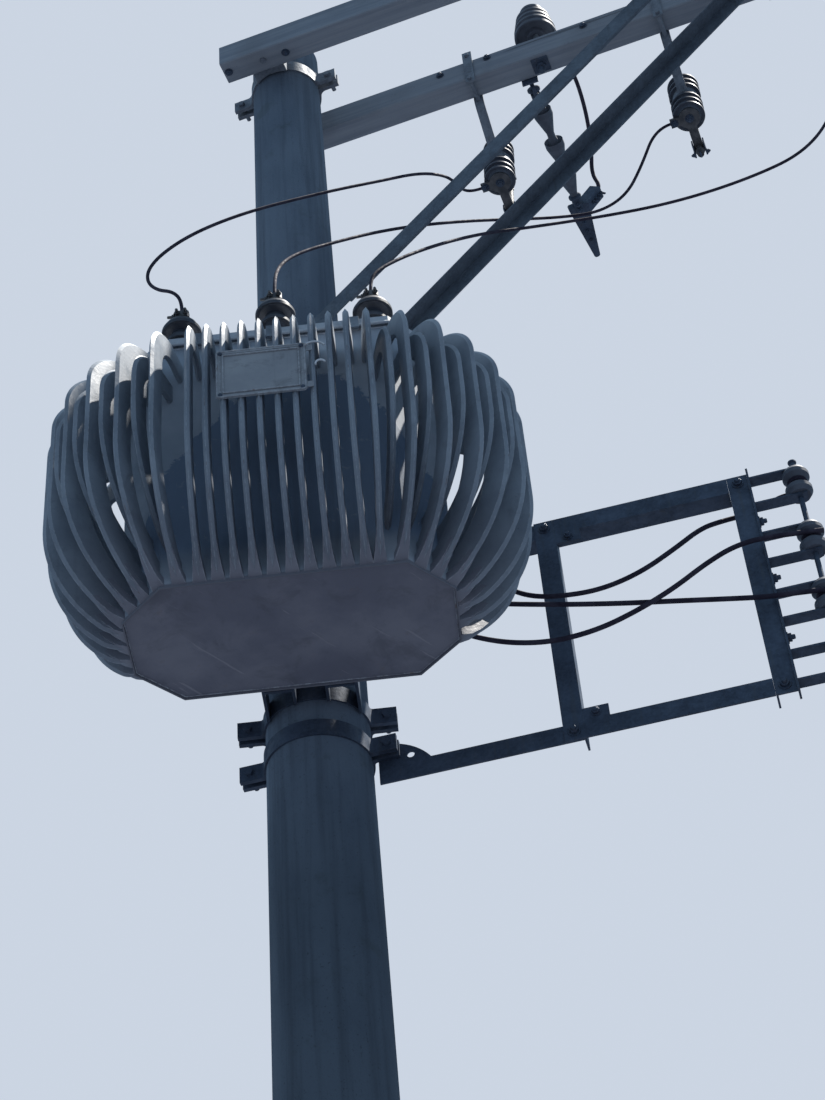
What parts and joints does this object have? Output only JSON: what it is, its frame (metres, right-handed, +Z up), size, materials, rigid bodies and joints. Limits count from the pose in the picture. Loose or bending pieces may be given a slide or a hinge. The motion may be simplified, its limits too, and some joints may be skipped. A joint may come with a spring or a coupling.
{
  "type": "pole mounted transformer",
  "caption": "Distribution transformer with bowed radiator tubes hung on a tapered concrete pole, with a pair of braced crossarms, fuse cutouts and an offset rack of spool insulators.",
  "frame": {"origin": "centre of the pole's foot at ground level", "axes": "+Z up the pole, +X along the tank's long side towards the rack, -Y is the side of the pole that carries the tank"},
  "size_m": [2.9553, 1.7437, 9.5067],
  "materials": {
    "concrete": "cast, weathered",
    "timber": "weathered, grey",
    "tank_paint": "light grey paint, weathered",
    "galvanised": "hot dip galvanised, dull",
    "plate": "dull",
    "porcelain": "glazed",
    "terminal": "dull, tinned",
    "fuse_tube": "matte",
    "cable": "matte, weathered"
  },
  "bodies": {
    "root": {"brace_back": "galvanised", "brace_band": "galvanised", "brace_front": "galvanised", "cover_clamps": "galvanised", "crossarm_back": "timber", "crossarm_band": "galvanised", "crossarm_bolts": "galvanised", "crossarm_front": "timber", "crossarm_saddles": "galvanised", "cutout_brackets": "galvanised", "cutout_contacts": "terminal", "cutout_fuse_tubes": "fuse_tube", "cutout_insulators": "porcelain", "frame_arms": "galvanised", "frame_band_lower": "galvanised", "frame_band_upper": "galvanised", "frame_bars": "galvanised", "frame_inner_post": "galvanised", "frame_outer_post": "galvanised", "front_tubes": "tank_paint", "hanger_lower": "galvanised", "hanger_upper": "galvanised", "hv_bushings": "porcelain", "hv_terminals": "terminal", "insulator_pin": "galvanised", "jumpers": "cable", "left_tubes": "tank_paint", "lv_bushings": "porcelain", "lv_leads": "cable", "lv_terminals": "terminal", "name_plate": "plate", "pin_insulator": "porcelain", "pole": "concrete", "pole_band_lower": "galvanised", "pole_band_upper": "galvanised", "right_tubes": "tank_paint", "secondary_rack": "galvanised", "spool_insulators": "porcelain", "strain_clamp": "galvanised", "strain_insulator": "porcelain", "tank_cover": "tank_paint", "tank_floor": "tank_paint", "tank_wall": "tank_paint", "tap_lead": "cable"}
  },
  "joints": []
}
